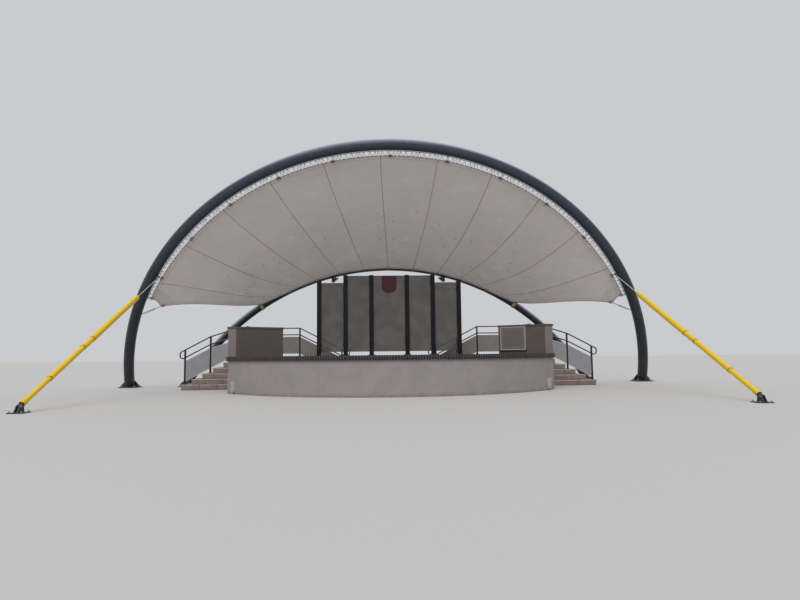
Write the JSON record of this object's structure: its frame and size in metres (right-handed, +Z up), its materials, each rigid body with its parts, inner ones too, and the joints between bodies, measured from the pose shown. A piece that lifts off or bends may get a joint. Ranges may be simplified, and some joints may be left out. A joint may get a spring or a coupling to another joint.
{
  "type": "outdoor stage",
  "caption": "Curved raised podium with side steps, glazed screen and wing walls under a stretched membrane canopy hung between a leaning front arch and a low rear arch.",
  "frame": {"origin": "on the ground at the centre of the curved front wall's circle, under the stage floor", "axes": "+X to the right seen from the seats, +Y away from the seats, +Z up"},
  "size_m": [19.937, 11.46, 7.8854],
  "materials": {
    "render_wall": "painted mineral render, weathered",
    "fill": "compacted sand and gravel",
    "paving": "concrete paving slabs",
    "clinker": "dark clinker bricks on edge",
    "wing_render": "darker mineral render",
    "dark_steel": "anthracite paint, satin",
    "board": "printed panel, left bare",
    "box": "light grey powder coat",
    "step_block": "pressed concrete blocks",
    "infill": "opal grey panels",
    "smoked_glass": "smoked sheet",
    "shield_red": "dark red enamel",
    "membrane": "coated polyester, matt",
    "galvanised": "galvanised steel",
    "guard_yellow": "yellow gloss paint"
  },
  "bodies": {
    "root": {"podium_fill": "fill", "rear_podium_fill": "fill", "front_retaining_wall": "render_wall", "side_retaining_walls": "render_wall", "rear_retaining_wall": "render_wall", "stage_floor": "paving", "rear_landings": "paving", "brick_coping": "clinker", "wing_wall_left": "wing_render", "wing_wall_right": "wing_render", "wing_wall_caps": "dark_steel", "notice_board": "board", "service_boxes": "box", "step_course_1": "step_block", "step_course_2": "step_block", "step_course_3": "step_block", "step_course_4": "step_block", "step_course_5": "step_block", "rear_steps_left": "step_block", "rear_steps_right": "step_block", "stair_railing_left": "dark_steel", "stair_railing_right": "dark_steel", "rear_railing_left": "dark_steel", "rear_railing_right": "dark_steel", "stair_panels": "infill", "rear_panels": "infill", "screen_posts": "dark_steel", "screen_glass": "smoked_glass", "shield_plaque": "shield_red", "front_arch_1": "dark_steel", "front_arch_2": "dark_steel", "front_arch_3": "dark_steel", "front_arch_4": "dark_steel", "front_arch_feet": "dark_steel", "rear_arch_1": "dark_steel", "rear_arch_2": "dark_steel", "rear_arch_3": "dark_steel", "rear_arch_feet": "dark_steel", "canopy_outer_left": "membrane", "canopy_outer_right": "membrane", "canopy_middle_left": "membrane", "canopy_middle_right": "membrane", "canopy_inner_left": "membrane", "canopy_inner_right": "membrane", "front_seam_ties": "galvanised", "rear_seam_ties": "galvanised", "corner_fittings": "galvanised", "guy_cables": "galvanised", "guy_guards": "guard_yellow", "guy_lugs": "dark_steel", "guy_anchors": "dark_steel", "floodlights": "dark_steel"}
  },
  "joints": []
}
